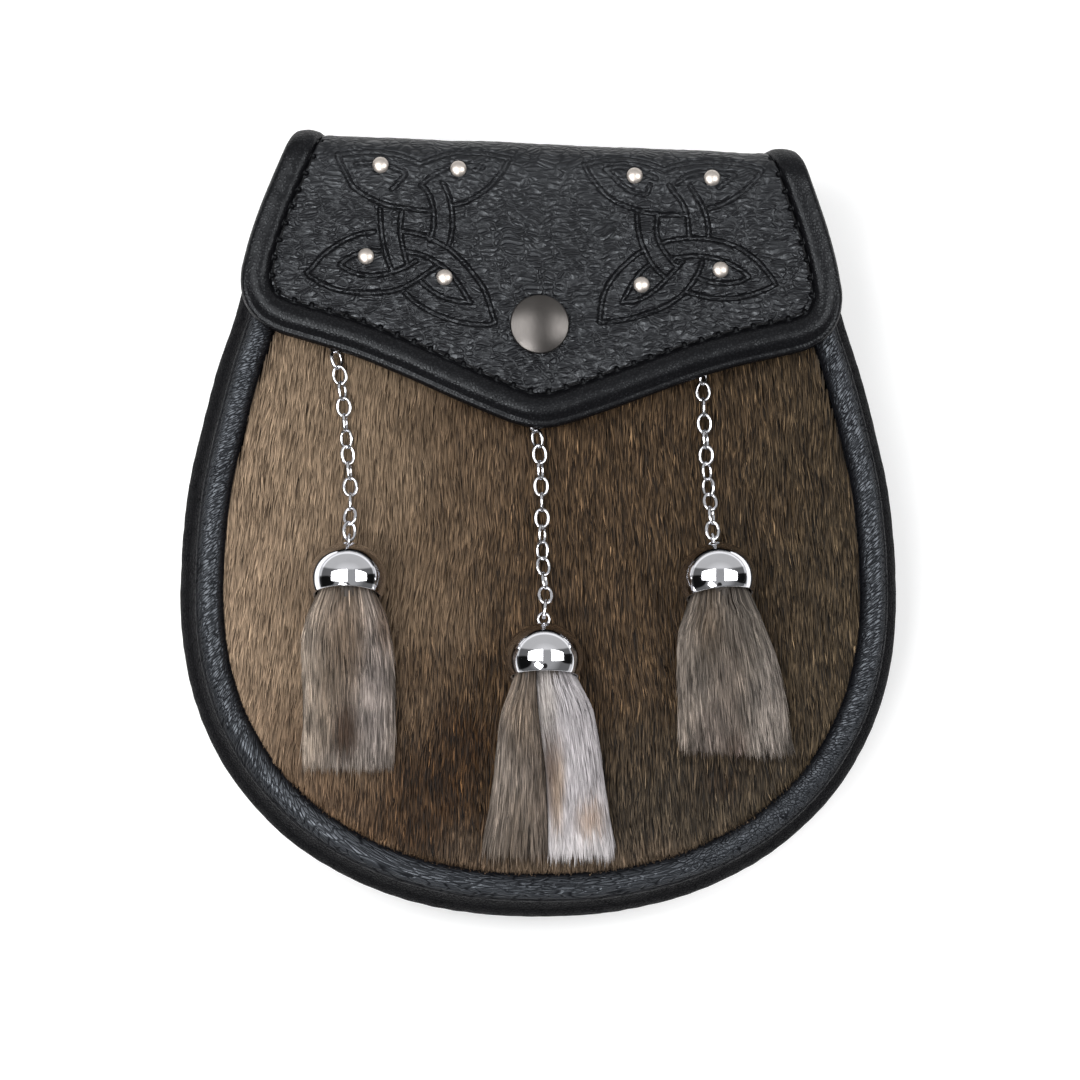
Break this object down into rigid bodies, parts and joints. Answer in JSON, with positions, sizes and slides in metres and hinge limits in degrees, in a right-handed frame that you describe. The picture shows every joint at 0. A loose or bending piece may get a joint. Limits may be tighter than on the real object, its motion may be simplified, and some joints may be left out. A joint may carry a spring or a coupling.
{
  "type": "sporran pouch",
  "caption": "Black leather day sporran with a fur front, a bound and tooled flap, a press-stud, chains, chrome bells and fur tassels, lying on its back.",
  "frame": {"origin": "on the surface it lies on, under the middle of the whole object's box", "axes": "+Z out of the pouch's front, +Y up the pouch to its mouth, +X to the right as seen from the front"},
  "size_m": [0.194, 0.2104, 0.0606],
  "materials": {
    "black_leather": "pebbled grain, semi-gloss",
    "brown_fur": "short straight hair, satin",
    "grey_fur": "straight hair, satin",
    "chrome": "polished",
    "gunmetal": "brushed, dark",
    "plain_steel": "plain wire and rod"
  },
  "bodies": {
    "root": {"back_panel": "black_leather", "gusset": "black_leather", "front_panel": "brown_fur", "front_welt": "black_leather", "rear_welt": "black_leather", "flap": "black_leather", "flap_binding": "black_leather", "belt_loop_left": "black_leather", "belt_loop_right": "black_leather", "snap_cap": "gunmetal", "snap_post": "plain_steel", "stud_1": "chrome", "stud_2": "chrome", "stud_3": "chrome", "stud_4": "chrome", "stud_5": "chrome", "stud_6": "chrome", "stud_7": "chrome", "stud_8": "chrome", "chain_anchor_left": "plain_steel", "chain_anchor_centre": "plain_steel", "chain_anchor_right": "plain_steel", "chain_left": "chrome", "chain_centre": "chrome", "chain_right": "chrome", "bell_left": "chrome", "bell_centre": "chrome", "bell_right": "chrome", "tassel_left": "grey_fur", "tassel_centre": "grey_fur", "tassel_right": "grey_fur"}
  },
  "joints": []
}
